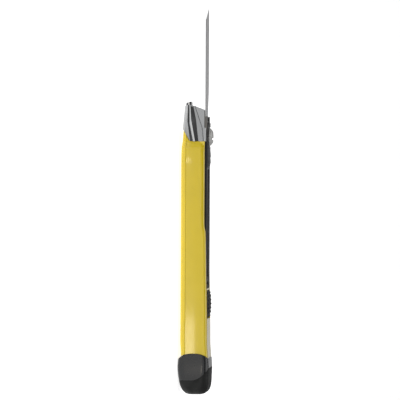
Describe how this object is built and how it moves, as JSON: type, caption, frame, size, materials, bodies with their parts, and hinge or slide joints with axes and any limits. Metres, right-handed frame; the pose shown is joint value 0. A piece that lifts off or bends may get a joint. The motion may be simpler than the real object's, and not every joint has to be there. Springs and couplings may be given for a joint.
{
  "type": "utility knife",
  "caption": "Snap-off utility knife: segmented blade sliding in a steel track, lock wheel, die-cast nose, two-part plastic case and an end cap that pulls out with a tray of spare blades.",
  "frame": {"origin": "under the middle of the knife, at the height of the end cap's lowest point, with the blade all the way out", "axes": "+X along the knife towards the end cap, so the blade points to -X; +Z out of the face with the thumb slider; +Y towards the blade's cutting edge"},
  "size_m": [0.2388, 0.0334, 0.0203],
  "materials": {
    "case_yellow": "glossy moulded ABS",
    "nose_chrome": "plated die casting",
    "track_steel": "black oxide",
    "blade_steel": "ground carbon steel",
    "spring_steel": "satin",
    "fastener_steel": "zinc plated",
    "nut_brass": "turned",
    "insert_black": "fine texture",
    "grip_rubber": "soft, matt",
    "slider_plastic": "satin moulded",
    "wheel_grey": "satin moulded",
    "cap_grey": "semi-gloss moulded",
    "bumper_black": "matt",
    "tray_plastic": "moulded"
  },
  "bodies": {
    "handle": {"front_shell": "case_yellow", "back_shell": "case_yellow", "nose": "nose_chrome", "blade_channel": "track_steel", "channel_rivets": "fastener_steel", "end_stop": "insert_black", "track_insert": "insert_black", "front_grip_pad": "grip_rubber", "magazine_divider": "tray_plastic", "case_screws": "fastener_steel", "cap_catch": "spring_steel"},
    "slide": {"blade": "blade_steel", "blade_carrier": "spring_steel", "carrier_stud": "fastener_steel", "thumb_slider": "slider_plastic", "slider_rivets": "fastener_steel", "spring_washer": "spring_steel", "stud_clip": "spring_steel"},
    "wheel": {"lock_wheel": "wheel_grey", "wheel_nut": "nut_brass"},
    "cap": {"end_cap": "cap_grey", "cap_bumper": "bumper_black", "magazine_tray": "tray_plastic", "tray_rivets": "fastener_steel", "spare_blades": "blade_steel", "tray_spring": "spring_steel"}
  },
  "joints": [
    {"name": "blade_slide", "type": "slide", "parent": "handle", "child": "slide", "axis": [1, 0, 0], "range_m": [0, 0.066]},
    {"name": "lock_turn", "type": "hinge", "parent": "slide", "child": "wheel", "pos_m": [-0.0389, 0, 0.0185], "axis": [0, 0, 1], "range_deg": [0, 180]},
    {"name": "cap_pull", "type": "slide", "parent": "handle", "child": "cap", "axis": [1, 0, 0], "range_m": [0, 0.11], "deforming": ["cap_catch"]}
  ]
}
